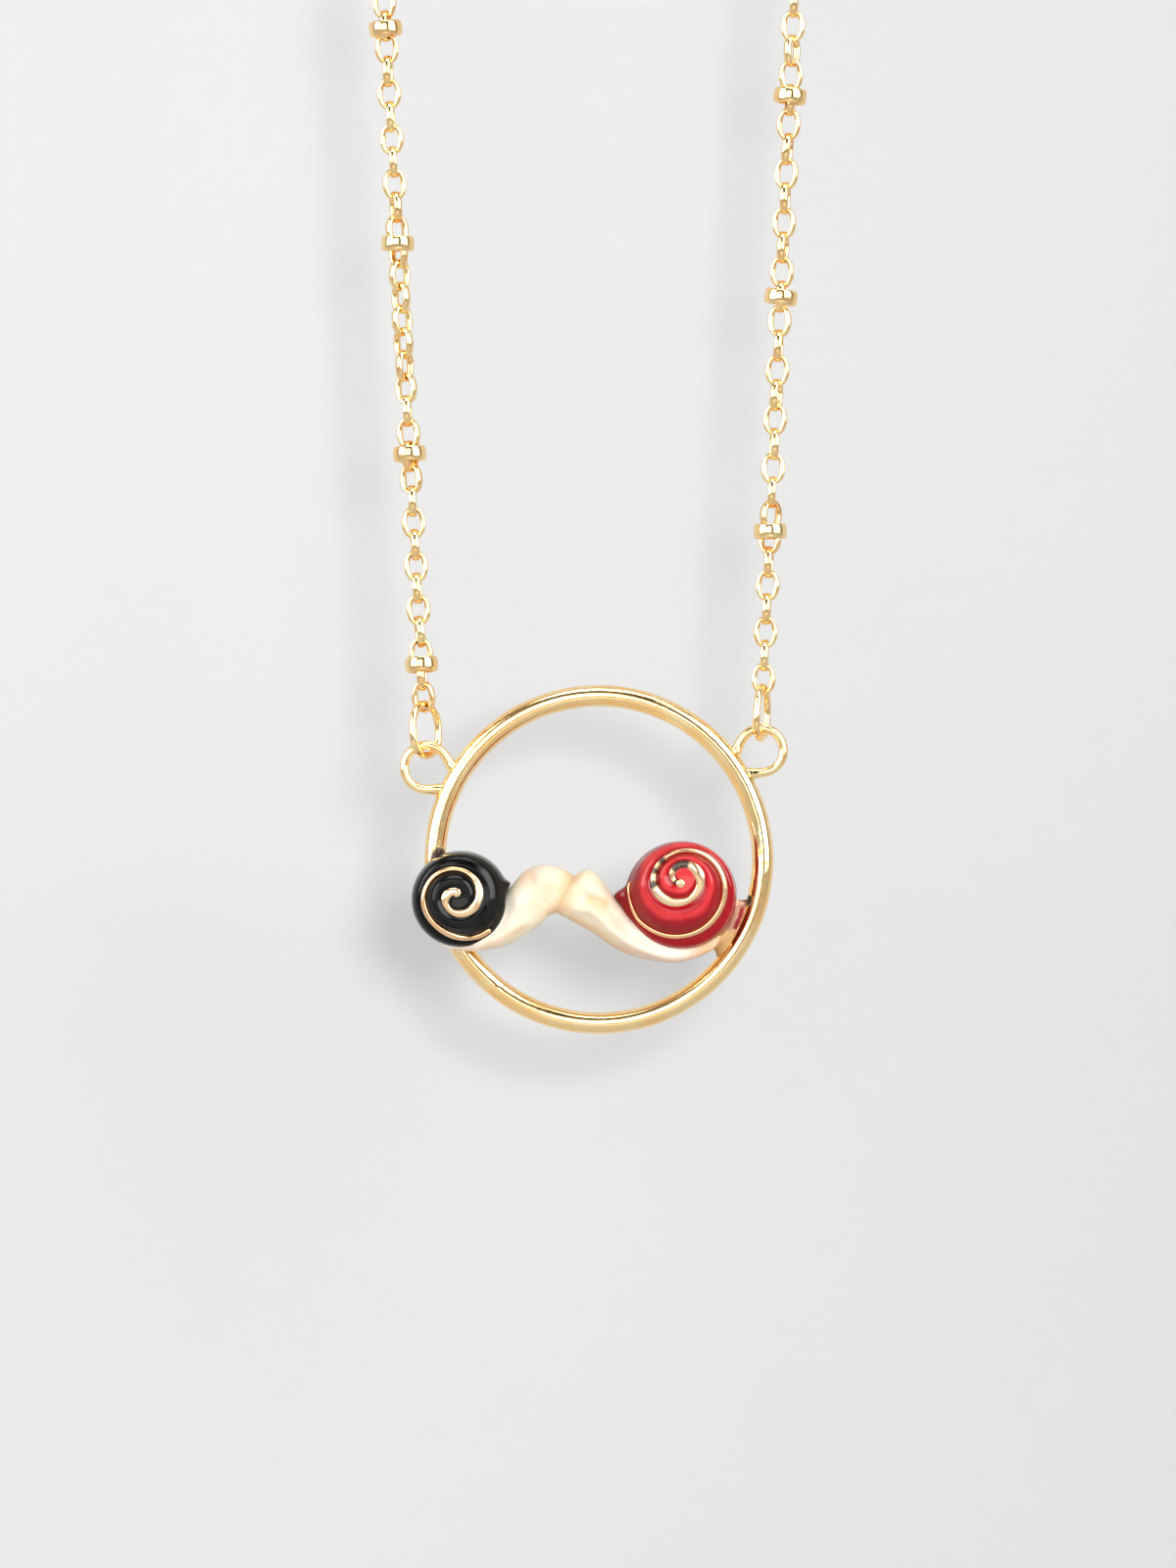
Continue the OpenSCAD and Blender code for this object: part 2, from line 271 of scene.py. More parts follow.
# A noise is given by its spots per millimetre, its detail and, for the ivory, its roughness. The edge of a
# cloud or mark is where it begins and where it is full. Duller is how much roughness the clouds add,
# bending is how glass-like a coat is, and milk is the light that scatters inside the ivory.
goldLook = dict(
    copper=(0.92, 0.52, 0.27), dark=(0.04, 0.022, 0.012),
    stain=dict(noise=(2.2, 2.0), amount=0.4, edge=(0.25, 0.8)),
    drift=dict(noise=(0.35, 2.0), edge=(0.35, 0.65)), clouds=dict(noise=(1.4, 4.0), edge=(0.42, 0.7)),
    bumps=dict(waves=(1.1, 2.0), grain=(7.0, 2.0), grainShare=0.06, strength=0.35))
enamelLook = dict(
    clouds=dict(noise=(0.6, 3.0), edge=(0.3, 0.7)), cloudShare=0.15, crestAndSheenEdge=(0.0, 0.24), duller=0.08,
    bending=1.5, bumps=dict(waves=(0.7, 2.0), strength=0.4, depth=0.05))
# In the ivory, the pale colour is painted light beside the shell and the tan colour is painted shade in the
# creases.
ivoryLook = dict(
    cool=(0.64, 0.575, 0.45), warm=(0.62, 0.53, 0.375), pale=(0.78, 0.71, 0.58),
    rose=(0.62, 0.41, 0.34), tanShade=(0.62, 0.38, 0.19), roseLeast=0.55, tanShadeLeast=0.5,
    clouds=dict(noise=(0.5, 4.0, 0.6), edge=(0.3, 0.7)), flecks=(1.0, 1.0), fleckShare=0.5,
    bending=1.46, sheen=0.15, milk=0.15, milkTone=(1.0, 0.6, 0.35), milkDepth=0.5,
    shine=0.3, duller=0.12, bumps=dict(waves=(0.8, 1.0), strength=0.3, depth=0.06))
solderLook = dict(
    copper=[(0.55, 0.3, 0.22), (0.4, 0.18, 0.11)], yellow=[(0.66, 0.41, 0.19), (0.48, 0.26, 0.1)],
    enamel=(0.26, 0.02, 0.02), patches=dict(noise=(0.7, 3.0), edge=(0.35, 0.65)),
    red=dict(noise=(1.8, 3.0), amount=1.1, edge=(0.25, 0.95)),
    low=dict(noise=(0.9, 2.0), amount=0.6, edge=(0.3, 0.8)),
    metal=0.75, shine=0.3, duller=0.15,
    bumps=dict(waves=(1.2, 1.0), grain=(3.5, 1.0), grainShare=0.3, strength=0.45, depth=0.12))


def gold(name, pale, deep, shine, dull, bumpDepth):
    # polished plate: a slow drift of tone, duller clouds and a faint unevenness, and copper or dark
    # where the mesh is marked so
    look = goldLook
    finish = Finish(name, {})
    stain = finish.ragged("stain", **look["stain"])
    plate = finish.tone(finish.clouds(**look["drift"]), pale, deep)
    plate = finish.tone(finish.mark("copper"), plate, look["copper"])
    finish.output("Base Color", finish.tone(stain, plate, look["dark"]))
    finish.output("Metallic", 1 - stain)
    finish.output("Roughness", shine + finish.clouds(**look["clouds"]) * (dull - shine))
    finish.bumped(**look["bumps"], depth=bumpDepth)
    return finish.material


def enamel(name, crestAndSheen, bright, deep, shine, sheen):
    # glossy enamel, paler on a crest, partly as thin enamel and partly as a painted sheen, and deeper beside
    # the gold line and at the rim, partly as thick enamel and partly as painted shade in the grooves
    look = enamelLook
    finish = Finish(name, {"IOR": look["bending"], "Specular IOR Level": sheen})
    cloud = finish.clouds(**look["clouds"])
    # the thick mark is thicker enamel and also painted shade in the grooves beside the gold line and at the
    # rim
    thick = finish.mark("thick") + (cloud - 0.5) * look["cloudShare"]
    # the crest colour is paler thin enamel with a painted sheen on it
    thin = finish.tone(finish.between(thick, *look["crestAndSheenEdge"]), crestAndSheen, bright)
    finish.output("Base Color", finish.tone(thick, thin, deep))
    finish.output("Roughness", shine + cloud * look["duller"])
    finish.bumped(**look["bumps"])
    return finish.material


def ivory(name):
    # pearly cream enamel over white, with tan painted shade in its creases and seam, rose tinted patches and
    # painted light beside the shell
    look = ivoryLook
    finish = Finish(name, {
        "IOR": look["bending"], "Specular IOR Level": look["sheen"], "Subsurface Weight": look["milk"],
        "Subsurface Radius": look["milkTone"], "Subsurface Scale": look["milkDepth"] * mm})
    cloud = finish.clouds(**look["clouds"])
    fleck = finish.noise(*look["flecks"]) * look["fleckShare"]
    colour = finish.tone(cloud, look["cool"], look["warm"])
    # painted light beside the shell, which hides the shade and the dark reflection of the shell there
    colour = finish.tone(finish.mark("pale"), colour, look["pale"])
    colour = finish.tone(finish.mark("rose") * (look["roseLeast"] + fleck), colour, look["rose"])
    # painted shade: tan in the creases and in the seam between the heads
    colour = finish.tone(finish.mark("tanShade") * (look["tanShadeLeast"] + fleck), colour, look["tanShade"])
    finish.output("Base Color", colour)
    finish.output("Roughness", look["shine"] + cloud * look["duller"])
    finish.bumped(**look["bumps"])
    return finish.material


def solder(name):
    # drawn-out solder: dull copper, yellower low down, with red enamel that ran onto it
    look = solderLook
    finish = Finish(name, {"Metallic": look["metal"]})
    patch = finish.clouds(**look["patches"])
    red = finish.ragged("red", **look["red"])
    low = finish.ragged("low", **look["low"])
    metal = finish.tone(low, finish.tone(patch, *look["copper"]), finish.tone(patch, *look["yellow"]))
    finish.output("Base Color", finish.tone(red, metal, look["enamel"]))
    finish.output("Roughness", look["shine"] + patch * look["duller"])
    finish.bumped(**look["bumps"])
    return finish.material


hoopGold = gold("hoop gold", pale=(1.0, 0.75, 0.39), deep=(1.0, 0.65, 0.28), shine=0.07, dull=0.15,
                bumpDepth=0.045)
chainGold = gold("chain gold", pale=(0.96, 0.72, 0.35), deep=(0.95, 0.62, 0.28), shine=0.08, dull=0.18,
                 bumpDepth=0.02)
lineGold = gold("line gold", pale=(1.0, 0.74, 0.45), deep=(0.94, 0.58, 0.31), shine=0.15, dull=0.26,
                bumpDepth=0.04)
# The crest colours carry a painted sheen as well as thin enamel, and the deep colours painted shade in the
# grooves and at the rim.
blackEnamel = enamel("black enamel", crestAndSheen=(0.008, 0.008, 0.007), bright=(0.002, 0.002, 0.002),
                     deep=(0.001, 0.001, 0.001), shine=0.1, sheen=0.16)
redEnamel = enamel("red enamel", crestAndSheen=(0.48, 0.026, 0.028), bright=(0.3, 0.002, 0.007),
                   deep=(0.17, 0.001, 0.003), shine=0.12, sheen=0.28)
ivoryEnamel = ivory("ivory enamel")
solderMetal = solder("solder")
print("finishes made")


# Chain. The jump rings and the clasp say where its first and last links hook in.

neck = dict(r=22.5, chainWidth=2.0)
cable = dict(wire=0.5, endWire=0.37, depth=0.68, width=2.1, inside=2.06, pitch=2.06, oval=2.15, square=2.8,
             spin=5.0, lean=0.025, steps=32, sides=10)
endLink = dict(height=5.1, width=4.4, wire=0.65, play=0.15)
clasp = dict(outer=6.0, wire=1.2, eyeR=1.0, eyeWire=0.7)
archMid = np.array([0.0, neck["chainWidth"] / 2 - neck["r"]])

# The run of one link and how far it is turned about the chain, by the distance above the hoop's eyelet
runs = [
    [(0, 1.87), (20, 1.87), (22, 1.95), (66, 1.95)],
    [(0, 2.008), (21, 2.008), (21.5, 2.115), (66, 2.115)],
]
twists = [
    [(0, 33), (8, 0), (20, 5), (23, 35), (27.6, 5), (31, 40), (42, 50), (48.3, 90), (60, 92),
     (75, 130), (95, 75), (120, 110), (150, 60), (190, 90)],
    [(0, 13), (6, 0), (13, 12), (21, 90), (49, 105), (54, 75), (58, 120), (61, 90),
     (80, 60), (105, 110), (130, 80), (160, 110), (190, 90)],
]

eyeHole = hoop["eyeletWire"] / 2 + endLink["wire"] / 2 + endLink["play"]
endLinkTop = endLink["height"] - endLink["wire"] - eyeHole
claspR = (clasp["outer"] - clasp["wire"]) / 2
claspEyeAt = claspR + clasp["wire"] / 2 + clasp["eyeR"]


class Leg:
    # one side of the chain: straight up from the eyelet, then round the neck's arch to the clasp
    def __init__(self, side, name):
        self.side = side
        self.name = name
        self.pivot = pivots[side]
        self.sign = -1 if side == 0 else 1
        away = self.pivot - archMid
        turn = math.degrees(math.acos(neck["r"] / np.hypot(*away)))
        self.startAngle = math.degrees(math.atan2(away[1], away[0])) + self.sign * turn
        if side == 0:
            self.startAngle += 360
        touch = archMid + polar(neck["r"], self.startAngle)
        self.straight = np.hypot(*(touch - self.pivot))
        self.up = (touch - self.pivot) / self.straight
        self.length = self.straight + neck["r"] * math.radians(abs(90 - self.startAngle))

    def at(self, s):
        # the place a distance s above the eyelet
        if s < self.straight:
            x, z = self.pivot + self.up * s
        else:
            turned = math.degrees((s - self.straight) / neck["r"])
            x, z = archMid + polar(neck["r"], self.startAngle + self.sign * turned)
        return np.array([x, 0.0, z])


legs = [Leg(0, "left"), Leg(1, "right")]


def facing(along, degrees):
    # the side and the face of a link that is turned from the front by some degrees
    a = math.radians(degrees)
    side = unit(np.cross(along, faceOut)) * math.cos(a) + faceOut * math.sin(a)
    return side, np.cross(side, along)


def linkPart(low, high, degrees):
    # an oval link between two places, flat on its four faces and thinner at its ends
    along = unit(high - low)
    side, face = facing(along, degrees)
    w = wholeTurn(cable["steps"])
    x, z = (c[:, None] for c in squaredRound(w, cable["oval"]))
    halfW = (cable["width"] - cable["wire"]) / 2
    halfL = (np.linalg.norm(high - low) + cable["endWire"]) / 2
    path = (low + high) / 2 + halfW * x * side + halfL * z * along
    wire = cable["wire"] + (cable["endWire"] - cable["wire"]) * np.sin(w) ** 2
    tangent = unit(np.roll(path, -1, 0) - np.roll(path, 1, 0))
    outward = np.cross(tangent, face)
    return sweep(path, outward, face, wire, cable["depth"], cable["sides"], cable["square"], loop=True)


def linkEnds(leg):
    # where each link hooks into the next, from the end link up to the clasp's eye
    ends = [endLinkTop - endLink["wire"] / 2]
    last = leg.length - claspEyeAt - clasp["eyeR"] + clasp["eyeWire"] / 2
    places, lengths = zip(*runs[leg.side])
    while ends[-1] < places[-1]:
        ends.append(ends[-1] + np.interp(ends[-1], places, lengths))
    rest = round((last - ends[-1]) / cable["pitch"])
    return ends + list(np.linspace(ends[-1], last, rest + 1)[1:])


for leg in legs:
    places, turns = zip(*twists[leg.side])
    ends = linkEnds(leg)
    links = []
    for i, (s, top) in enumerate(zip(ends[:-1], ends[1:])):
        turn = 90 * (i % 2) + np.interp(s, places, turns) + rng.normal(0, cable["spin"])
        if i == len(ends) - 2:
            turn = 0.0  # the last one stands square to the clasp's eye
        slack = max(cable["inside"] - (top - s), 0) / 2
        lean = np.append(rng.normal(0, cable["lean"], 2), 0)
        links.append(linkPart(leg.at(s - slack) + lean, leg.at(top + slack) - lean, turn))
    piece(f"cable_{leg.name}", joined(links), "chain", f"chain_{leg.name}", chainGold)
print("links made")


# Satellite beads. The first ones go by their distance from the eyelet, and the rest are evenly spaced. The
# axis of a bead follows the chain over chordShare of the spacing, to each side of it.

bead = dict(outer=2.9, height=1.3, bore=2.16, square=2.9, crown=0.06, spacing=18.2, endGap=9.0, tip=3.5,
            chordShare=1 / 6, steps=30, sides=56)
beadStarts = [[6.95, 25.1, 43.2, 61.7], [16.95, 37.1, 54.4]]


def beadProfile():
    # a section with round shoulders between the bore and the slightly crowned outside
    half, bore, sunk = bead["height"] / 2, bead["bore"] / 2, bead["crown"] / 2
    reach = (bead["outer"] / 2 - bore) / 2
    u, v = squaredRound(wholeTurn(bead["steps"]), bead["square"])
    crown = bead["crown"] * (1 - v ** 2) * (u > 0)
    return np.stack([bore + reach - sunk + u * (reach - sunk) + crown, -half * v], -1)


for leg in legs:
    places = list(beadStarts[leg.side])
    last = leg.length - claspEyeAt - clasp["eyeR"] - clasp["eyeWire"] / 2 - bead["endGap"]
    while places[-1] + bead["spacing"] < last:
        places.append(places[-1] + bead["spacing"])
    beads = []
    for s in places:
        low, high = (leg.at(s + sign * bead["spacing"] * bead["chordShare"]) for sign in (-1, 1))
        tip = np.append(rng.normal(0, math.radians(bead["tip"]), 2), 0)
        axis = unit(unit(high - low) + tip)
        across = unit(np.cross(axis, faceOut))
        beads.append(revolve(beadProfile(), (low + high) / 2, axis, across, bead["sides"], loop=True))
    piece(f"satellites_{leg.name}", joined(beads), "chain", f"beads_{leg.name}", chainGold)
print("beads made")


# End links: jump rings narrower at the top, bent slightly out of true, with their cut down by the eyelet

jumpRing = dict(turns=[-57.0, -77.0], tear=0.1, cutAt=-1.15, cut=0.004, wave=0.02, waveFrom=1.1, corners=4.0,
                bend=0.06, pinch=0.05, pinchAt=0.3, pinchWidth=0.12, steps=112, sides=20)


def jumpRingPart(leg):
    ring = jumpRing
    halfW = (endLink["width"] - endLink["wire"]) / 2
    straight = endLink["height"] - endLink["width"]
    w = np.linspace(ring["cut"], 2 * np.pi - ring["cut"], ring["steps"]) + ring["cutAt"]
    up = np.array([leg.up[0], 0.0, leg.up[1]])
    side, face = facing(up, ring["turns"][leg.side])
    middle = leg.at((endLinkTop - eyeHole) / 2)
    x = halfW * np.cos(w) * (1 - ring["tear"] * np.sin(w) + ring["wave"] * np.sin(3 * w + ring["waveFrom"]))
    z = halfW * np.sin(w) + straight / 2 * np.tanh(ring["corners"] * np.sin(w))
    bend = ring["bend"] * np.cos(w)
    path = middle + x[:, None] * side + z[:, None] * up + bend[:, None] * face
    tangent = unit(np.gradient(path, axis=0))
    outward = unit(np.cross(tangent, face))
    pinch = ring["pinch"] * bump(np.sin(w / 2 - ring["pinchAt"]), 0, ring["pinchWidth"])
    wire = endLink["wire"] * (1 - pinch)
    return sweep(path, outward, np.cross(outward, tangent), wire, wire, ring["sides"])


for leg in legs:
    piece(f"jump_ring_{leg.name}", jumpRingPart(leg), "chain", f"end_link_{leg.name}", hoopGold)
print("jump rings made")


# Clasp: a spring ring with an eye on each side, a collar on each side of its opening, and its slide's nub

claspMesh = dict(ring=(20, 72), eye=(14, 40), collar=24, nub=20)  # sides, and steps round the rings
collar = dict(out=0.9, tilt=0.38, size=[0.96, 0.16])
collarProfile = np.array([[0.56, -0.9], [0.66, -0.88], [0.7, -0.8], [0.7, 0.8], [0.66, 0.88], [0.56, 0.9]])
nubProfile = np.array([[0.22, 0.0], [0.22, 0.75], [0.3, 0.85], [0.3, 1.05], [0.2, 1.15], [0.02, 1.18]])


def ringPart(middle, r, wire, sides, steps):
    w = wholeTurn(steps)
    out = np.cos(w)[:, None] * rightward + np.sin(w)[:, None] * np.cross(upward, rightward)
    return sweep(middle + r * out, out, upward, wire, wire, sides, loop=True)


def claspPart():
    middle = np.array([0.0, 0.0, neck["chainWidth"] / 2])
    parts = [ringPart(middle, claspR, clasp["wire"], *claspMesh["ring"])]
    for sign in (-1, 1):
        eyeAt = middle + [sign * claspEyeAt, 0, 0]
        parts.append(ringPart(eyeAt, clasp["eyeR"], clasp["eyeWire"], *claspMesh["eye"]))
    for sign in (-1, 1):
        at = middle + [sign * collar["out"], -claspR * math.cos(math.asin(collar["out"] / claspR)), 0]
        axis = unit(np.array([1.0, sign * collar["tilt"], 0.0]))
        parts.append(revolve(collarProfile * collar["size"], at, axis, upward, claspMesh["collar"]))
    parts.append(revolve(nubProfile, middle + [0, -claspR, 0], upward, rightward, claspMesh["nub"]))
    return joined(parts)


piece("spring_ring", claspPart(), "chain", "clasp", chainGold)
print("clasp made")


# Shells. r is the distance from the apex along the shell and a the angle round it. Strays are where the
# line leaves its spiral, by its turns, and lips are swellings and dents of the rim, by their angle.

stand = dict(back=-1.0, y=-1.05, tuck=35.0, tuckDepth=0.7)
widestY = stand["y"] - stand["tuckDepth"]
blackShell = dict(
    side="left", colour="black", apex=(-12.423, -3.399), mid=(-11.863, -3.112), rim=(-11.88, -3.37),
    rimR=4.2, span=4.2, rise=2.75, puff=0.8, squash=0.985, lineFrom=0.541, lineTo=3.959, growth=1.413,
    drift=0.646, lineAngle=61.84, turns=1.683, sense=1, lineReach=0.95,
    strays=[(1.5, 0.12, -0.28), (1.73, 0.07, -0.42)], lips=[(18, 5, 0.33), (-2, 12, -0.22)])
redShell = dict(
    side="right", colour="red", apex=(7.062, -1.302), mid=(7.211, -2.959), rim=(7.05, -3.06),
    rimR=4.8, span=4.95, rise=3.3, puff=0.9, squash=0.97, lineFrom=0.65, lineTo=4.877, growth=1.335,
    drift=1.965, lineAngle=-102.64, turns=2.304, sense=-1, lineReach=0.9,
    strays=[(1.42, 0.16, -0.42), (0.4, 0.2, -0.08)], lips=[(180, 7, 0.85), (194, 12, 0.4)])
dome = dict(power=0.9, lipGrowth=8, edgeFrom=0.86, sides=320, tips=[(0.8, 84, 130), (85.5, 90, 6)],
            tuckTip=92, tuckRows=10)
# The groove's last numbers shape the thick mark, which carries painted shade in the grooves and at the rim.
groove = dict(narrow=0.45, wide=1.3, startsBefore=0.03, fadeIn=0.2, endsAfter=0.04, fadeOut=0.08,
              apexPuff=0.45, puffFrom=2.4, rimFall=6, thickAndShadeGrowth=0.75, rimShade=0.7, rimGrowth=12)


def shellPlan(shell, r, a):
    # the place of (r, a) on the pendant: spiral circles about a moving middle, then the round rim
    apex, mid, rim = (np.array(shell[key]) for key in ("apex", "mid", "rim"))
    grow = (r / shell["lineTo"]) ** shell["drift"]
    inner = apex + (mid - apex) * grow[..., None] + polar(r, a)
    part = r / shell["span"]
    lip = sum(height * bump(turnFrom(at, a), 0, width) for at, width, height in shell["lips"])
    outer = rim + polar(shell["rimR"] * part + lip * part ** dome["lipGrowth"], a)
    edge = smoothStep((part - dome["edgeFrom"]) / (1 - dome["edgeFrom"]))[..., None]
    place = inner * (1 - edge) + outer * edge
    return rim + (place - rim) * [1.0, shell["squash"]]


def lineTurns(shell, r):
    part = np.maximum(r - shell["lineFrom"], 0) / (shell["lineTo"] - shell["lineFrom"])
    return shell["turns"] * part ** (1 / shell["growth"])


def lineRadius(shell, turns):
    part = np.maximum(turns, 0) / shell["turns"]
    stray = sum(change * bump(turns, at, width) for at, width, change in shell["strays"])
    return shell["lineFrom"] + (shell["lineTo"] - shell["lineFrom"]) * part ** shell["growth"] + stray


def domeY(shell, r):
    part = np.clip(r / shell["span"], 0, 1)
    return widestY - shell["rise"] * np.sqrt(np.maximum(1 - part ** 2, 0)) ** dome["power"]


def whorls(shell, r, a):
    # how far the whorls stand out between their grooves, and the thick mark: thicker enamel with painted
    # shade in the grooves beside the line and painted shade at the rim
    around = shell["sense"] * (a - shell["lineAngle"]) / 360
    turns = lineTurns(shell, r)
    half = (lineRadius(shell, turns + 0.5) - lineRadius(shell, turns - 0.5)) / 2
    half = np.clip(half, groove["narrow"], groove["wide"])
    relief = np.ones(r.shape)
    for step in (0, 1):
        turn = np.floor(turns - around) + around + step
        begun = smoothStep((turn + groove["startsBefore"]) / groove["fadeIn"])
        there = begun * smoothStep((shell["turns"] + groove["endsAfter"] - turn) / groove["fadeOut"])
        away = np.abs(r - lineRadius(shell, turn))
        relief -= there * np.maximum(1 - away / half, 0) ** 2
    part = np.clip(r / shell["span"], 0, 1)
    puff = groove["apexPuff"] + (1 - groove["apexPuff"]) * smoothStep(r / groove["puffFrom"])
    puff = shell["puff"] * puff * np.sqrt(1 - part ** groove["rimFall"])
    # painted shade: darker in the grooves beside the gold line and at the rim, on top of the enamel's
    # thickness
    thick = np.clip(1 - relief, 0, 1) ** groove["thickAndShadeGrowth"]
    return puff * relief, np.maximum(thick, groove["rimShade"] * part ** groove["rimGrowth"])


def shellPart(shell):
    sides = dome["sides"]
    a = np.linspace(0, 360, sides, endpoint=False)
    rows, thick = [], []
    for tip in np.concatenate([np.linspace(*run) for run in dome["tips"]]):
        r = np.full(sides, shell["span"] * math.sin(math.radians(tip)))
        # depth is the thick mark: thicker enamel and painted shade in the grooves and at the rim
        relief, depth = whorls(shell, r, a)
        rows.append(inFrame(shellPlan(shell, r, a), domeY(shell, r) - relief))
        thick.append(depth)
    rim = shellPlan(shell, np.full(sides, shell["span"]), a)
    for tip in np.linspace(dome["tuckTip"], 90 + stand["tuck"], dome["tuckRows"]):
        shrink = math.sin(math.radians(tip))
        back = stand["tuckDepth"] * -math.cos(math.radians(tip)) / math.sin(math.radians(stand["tuck"]))
        rows.append(inFrame((rim - shell["rim"]) * shrink + shell["rim"], widestY + back))
        thick.append(np.ones(sides))
    return skin(rows), {"thick": np.append(np.concatenate(thick), [0.0, 1.0])}


for shell, material in ((blackShell, blackEnamel), (redShell, redEnamel)):
    part, marks = shellPart(shell)
    piece(f"{shell['colour']}_shell", part, "pendant", f"snail_{shell['side']}_shell",
          material, marks)
print("shells made")


# Gold lines: a half-round ridge in the groove between two whorls, wider in some places than in others.
# Widths and stains go by the share of the line's turns from its start.

blackLine = dict(
    startR=0.44, firstTurn=0.0, lastTurn=1.009, stains=[(0.56, 0.015, 0.5)],
    widths=[(0, 0.7), (0.03, 0.76), (0.08, 0.7), (0.13, 0.74), (0.2, 0.72), (0.28, 0.56), (0.36, 0.68),
            (0.44, 0.88), (0.5, 0.72), (0.58, 0.4), (0.68, 0.38), (0.8, 0.42), (0.92, 0.52), (1, 0.36)])
redLine = dict(
    startR=0.4, firstTurn=-0.03, lastTurn=0.975,
    stains=[(0.07, 0.02, 1.0), (0.13, 0.025, 0.55), (0.185, 0.03, 0.8), (0.24, 0.03, 1.1),
            (0.545, 0.014, 0.9), (0.578, 0.012, 0.8), (0.61, 0.014, 0.9)],
    widths=[(0, 0.6), (0.04, 0.6), (0.08, 0.4), (0.16, 0.5), (0.24, 0.72), (0.31, 0.86), (0.42, 0.54),
            (0.5, 0.7), (0.6, 0.46), (0.75, 0.52), (0.88, 0.42), (0.96, 0.3), (1, 0.1)])
ridge = dict(proud=0.1, sunk=0.1, square=2.4, stroke=1.1, uneven=0.07, softWidth=6, softHeight=8,
             tip=0.03, lowTip=0.35, nextR=0.05, nextTurn=2, steps=480, sides=24)
drop = dict(at=12, tall=0.45, sunk=0.36, edge=86, rows=13, sides=28)  # the line starts in a round drop
narrowCopper = dict(width=0.66, over=0.24, most=0.8)  # where the line is narrow it is given a copper tone


def softened(values, reach):
    # a running mean, taken twice
    kernel = np.ones(2 * reach + 1) / (2 * reach + 1)
    for _ in range(2):
        values = np.convolve(np.pad(values, reach, mode="edge"), kernel, "valid")
    return values


def unevenWidth(line, along, run):
    # the hand that laid the line was not quite even from one stroke to the next
    places, widths = zip(*line["widths"])
    strokes = np.arange(0, run[-1] + ridge["stroke"], ridge["stroke"])
    hand = np.interp(run, strokes, rng.normal(1.0, ridge["uneven"], len(strokes)))
    return softened(np.interp(along, places, widths) * hand, ridge["softWidth"])


def linePart(shell, line):
    t = np.linspace(line["firstTurn"], line["lastTurn"], ridge["steps"])
    r = np.minimum(lineRadius(shell, shell["turns"] * t), shell["span"] * shell["lineReach"])
    a = shell["lineAngle"] + shell["sense"] * 360 * shell["turns"] * t

    def onDome(r, a):
        return inFrame(shellPlan(shell, r, a), domeY(shell, r))

    path = onDome(r, a)
    # two short steps on the dome show which way is straight out of it
    outward = unit(np.cross(onDome(r + ridge["nextR"], a) - path, onDome(r, a + ridge["nextTurn"]) - path))
    outward *= np.sign(outward @ faceOut)[:, None]
    tangent = unit(np.gradient(path, axis=0))
    side = unit(np.cross(tangent, outward))
    outward = np.cross(side, tangent)
    run = np.append(0, np.cumsum(np.linalg.norm(np.diff(path, axis=0), axis=1)))
    along = np.linspace(0, 1, ridge["steps"])
    width = unevenWidth(line, along, run)
    away = np.minimum(run, run[-1] - run) / (width / 2)
    taper = np.sqrt(np.maximum(1 - (1 - np.clip(away, 0, 1)) ** 2, 0)) * (1 - ridge["tip"]) + ridge["tip"]
    # the line stands a little proud of the enamel at its two edges
    proud, sunk, square = ridge["proud"], ridge["sunk"], ridge["square"]
    banks = [whorls(shell, np.maximum(r + sign * width / 2, 0), a)[0] for sign in (-1, 1)]
    top = softened((banks[0] + banks[1]) / 2, ridge["softHeight"]) + proud
    top = top * (ridge["lowTip"] + (1 - ridge["lowTip"]) * taper)
    level = np.maximum(1 - 2 * proud / (top + sunk), 0)  # where the enamel meets the line's side
    across = width * taper / (1 - level ** square) ** (1 / square)
    middle = path + outward * ((top - sunk) / 2)[:, None]
    part = sweep(middle, side, outward, across, top + sunk, ridge["sides"], square)
    turns = np.radians(np.linspace(drop["edge"], -drop["edge"], drop["rows"]))
    startR, at = line["startR"], drop["at"]
    dropProfile = np.stack([startR * np.cos(turns), startR * drop["tall"] * np.sin(turns)], -1)
    dropAt = path[at] + outward[at] * (top[at] - startR * drop["sunk"])
    dropPart = revolve(dropProfile, dropAt, outward[at], side[at], drop["sides"])
    stain = sum(depth * bump(along, place, reach) for place, reach, depth in line["stains"])
    copper = np.clip((narrowCopper["width"] - width) / narrowCopper["over"], 0, 1) * narrowCopper["most"]
    marks = {key: np.concatenate([np.repeat(values, ridge["sides"]), values[[0, -1]],
                                  np.zeros(len(dropPart[0]))])
             for key, values in (("stain", stain), ("copper", copper))}
    return joined([part, dropPart]), marks


for shell, line in ((blackShell, blackLine), (redShell, redLine)):
    part, marks = linePart(shell, line)
    piece(f"{shell['colour']}_shell_line", part, "pendant", f"snail_{shell['side']}_spiral",
          lineGold, marks)
print("gold lines made")


# Bodies. Each row, from tail to head, is a line across the body: x, z, half its width, how far it stands
# out there and the angle of the line. Forms and tints follow lines on the front: their points, how wide
# they are and how high or how strong. A negative height is a crease. The tan tints are painted shade in
# the creases and in the seam between the heads.

